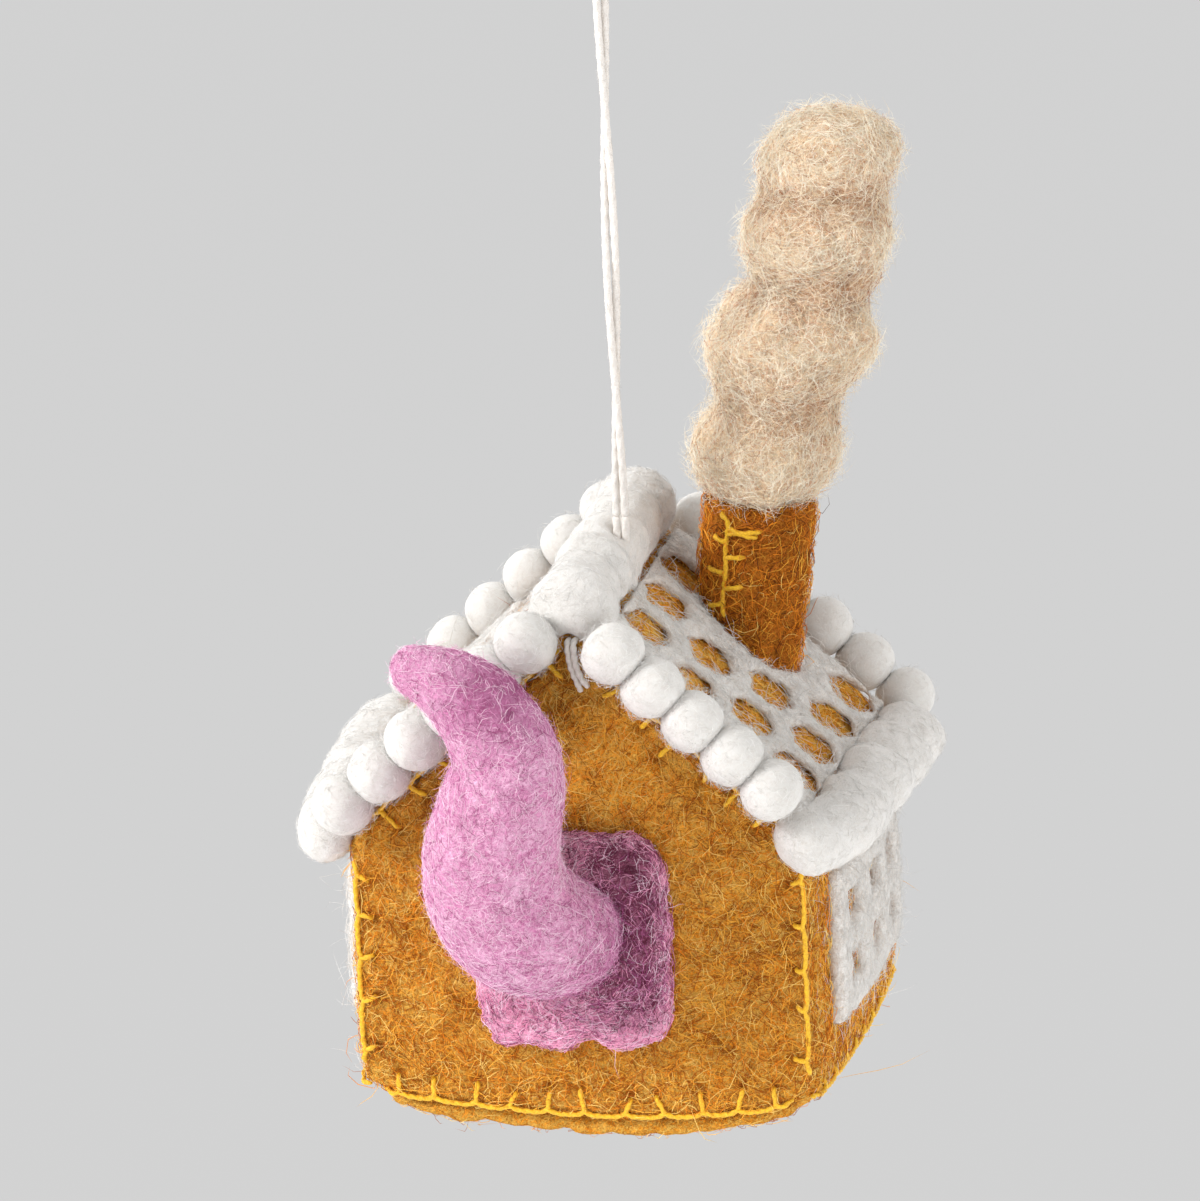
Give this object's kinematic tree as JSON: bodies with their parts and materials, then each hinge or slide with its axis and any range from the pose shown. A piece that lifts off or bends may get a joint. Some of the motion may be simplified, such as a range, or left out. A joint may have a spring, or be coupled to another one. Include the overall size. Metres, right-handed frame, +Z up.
{
  "type": "felt hanging ornament",
  "caption": "Hanging felt gingerbread house with an icing lattice, rows of felt balls, a chimney with wool smoke and a curling tail on its front, on a doubled cord that ends in a loop.",
  "frame": {"origin": "inside top of the cord's loop, where a hook or a twig bears", "axes": "+Z up along the taut cord, front wall with the tail faces -Y, chimney on the +X side"},
  "size_m": [0.0852, 0.0901, 0.1773],
  "materials": {
    "ginger_felt": "matte fibrous felt",
    "white_wool": "matte felted wool",
    "smoke_wool": "loose fluffy wool",
    "lilac_wool": "matte felted wool",
    "purple_wool": "matte needle-felted wool",
    "yellow_floss": "soft sheen cotton",
    "cotton_cord": "matte cotton"
  },
  "bodies": {
    "eye": {"cord_eye": "cotton_cord"},
    "legs": {"cord_right_strand": "cotton_cord", "cord_left_strand": "cotton_cord"},
    "house": {"front_wall": "ginger_felt", "back_wall": "ginger_felt", "right_wall": "ginger_felt", "left_wall": "ginger_felt", "base_panel": "ginger_felt", "right_roof": "ginger_felt", "left_roof": "ginger_felt", "chimney": "ginger_felt", "stuffing": "white_wool", "right_icing": "white_wool", "left_icing": "white_wool", "ridge_roll": "white_wool", "right_eave_roll": "white_wool", "left_eave_roll": "white_wool", "front_right_ball_1": "white_wool", "front_right_ball_2": "white_wool", "front_right_ball_3": "white_wool", "front_right_ball_4": "white_wool", "front_right_ball_5": "white_wool", "front_left_ball_1": "white_wool", "front_left_ball_2": "white_wool", "front_left_ball_3": "white_wool", "front_left_ball_4": "white_wool", "front_left_ball_5": "white_wool", "front_left_ball_6": "white_wool", "back_left_ball_1": "white_wool", "back_left_ball_2": "white_wool", "back_left_ball_3": "white_wool", "back_left_ball_4": "white_wool", "back_left_ball_5": "white_wool", "back_left_ball_6": "white_wool", "back_right_ball_1": "white_wool", "back_right_ball_2": "white_wool", "back_right_ball_3": "white_wool", "back_right_ball_4": "white_wool", "back_right_ball_5": "white_wool", "back_right_ball_6": "white_wool", "right_window": "white_wool", "left_window": "white_wool", "smoke": "smoke_wool", "tail": "lilac_wool", "tail_patch": "purple_wool", "chimney_seam": "yellow_floss", "front_base_seam": "yellow_floss", "back_base_seam": "yellow_floss", "right_base_seam": "yellow_floss", "left_base_seam": "yellow_floss", "front_right_seam": "yellow_floss", "front_left_seam": "yellow_floss", "back_left_seam": "yellow_floss", "back_right_seam": "yellow_floss", "front_gable_seam": "yellow_floss", "back_gable_seam": "yellow_floss", "ball_tie": "cotton_cord", "cord_root": "cotton_cord"}
  },
  "joints": [
    {"name": "cord_turn", "type": "hinge", "parent": "eye", "child": "legs", "pos_m": [0, 0, -0.017], "axis": [0, 0, 1], "range_deg": [-180, 180]},
    {"name": "house_swing", "type": "hinge", "parent": "legs", "child": "house", "pos_m": [0, 0, -0.098], "axis": [1, 0, 0], "range_deg": [-60, 60]}
  ]
}
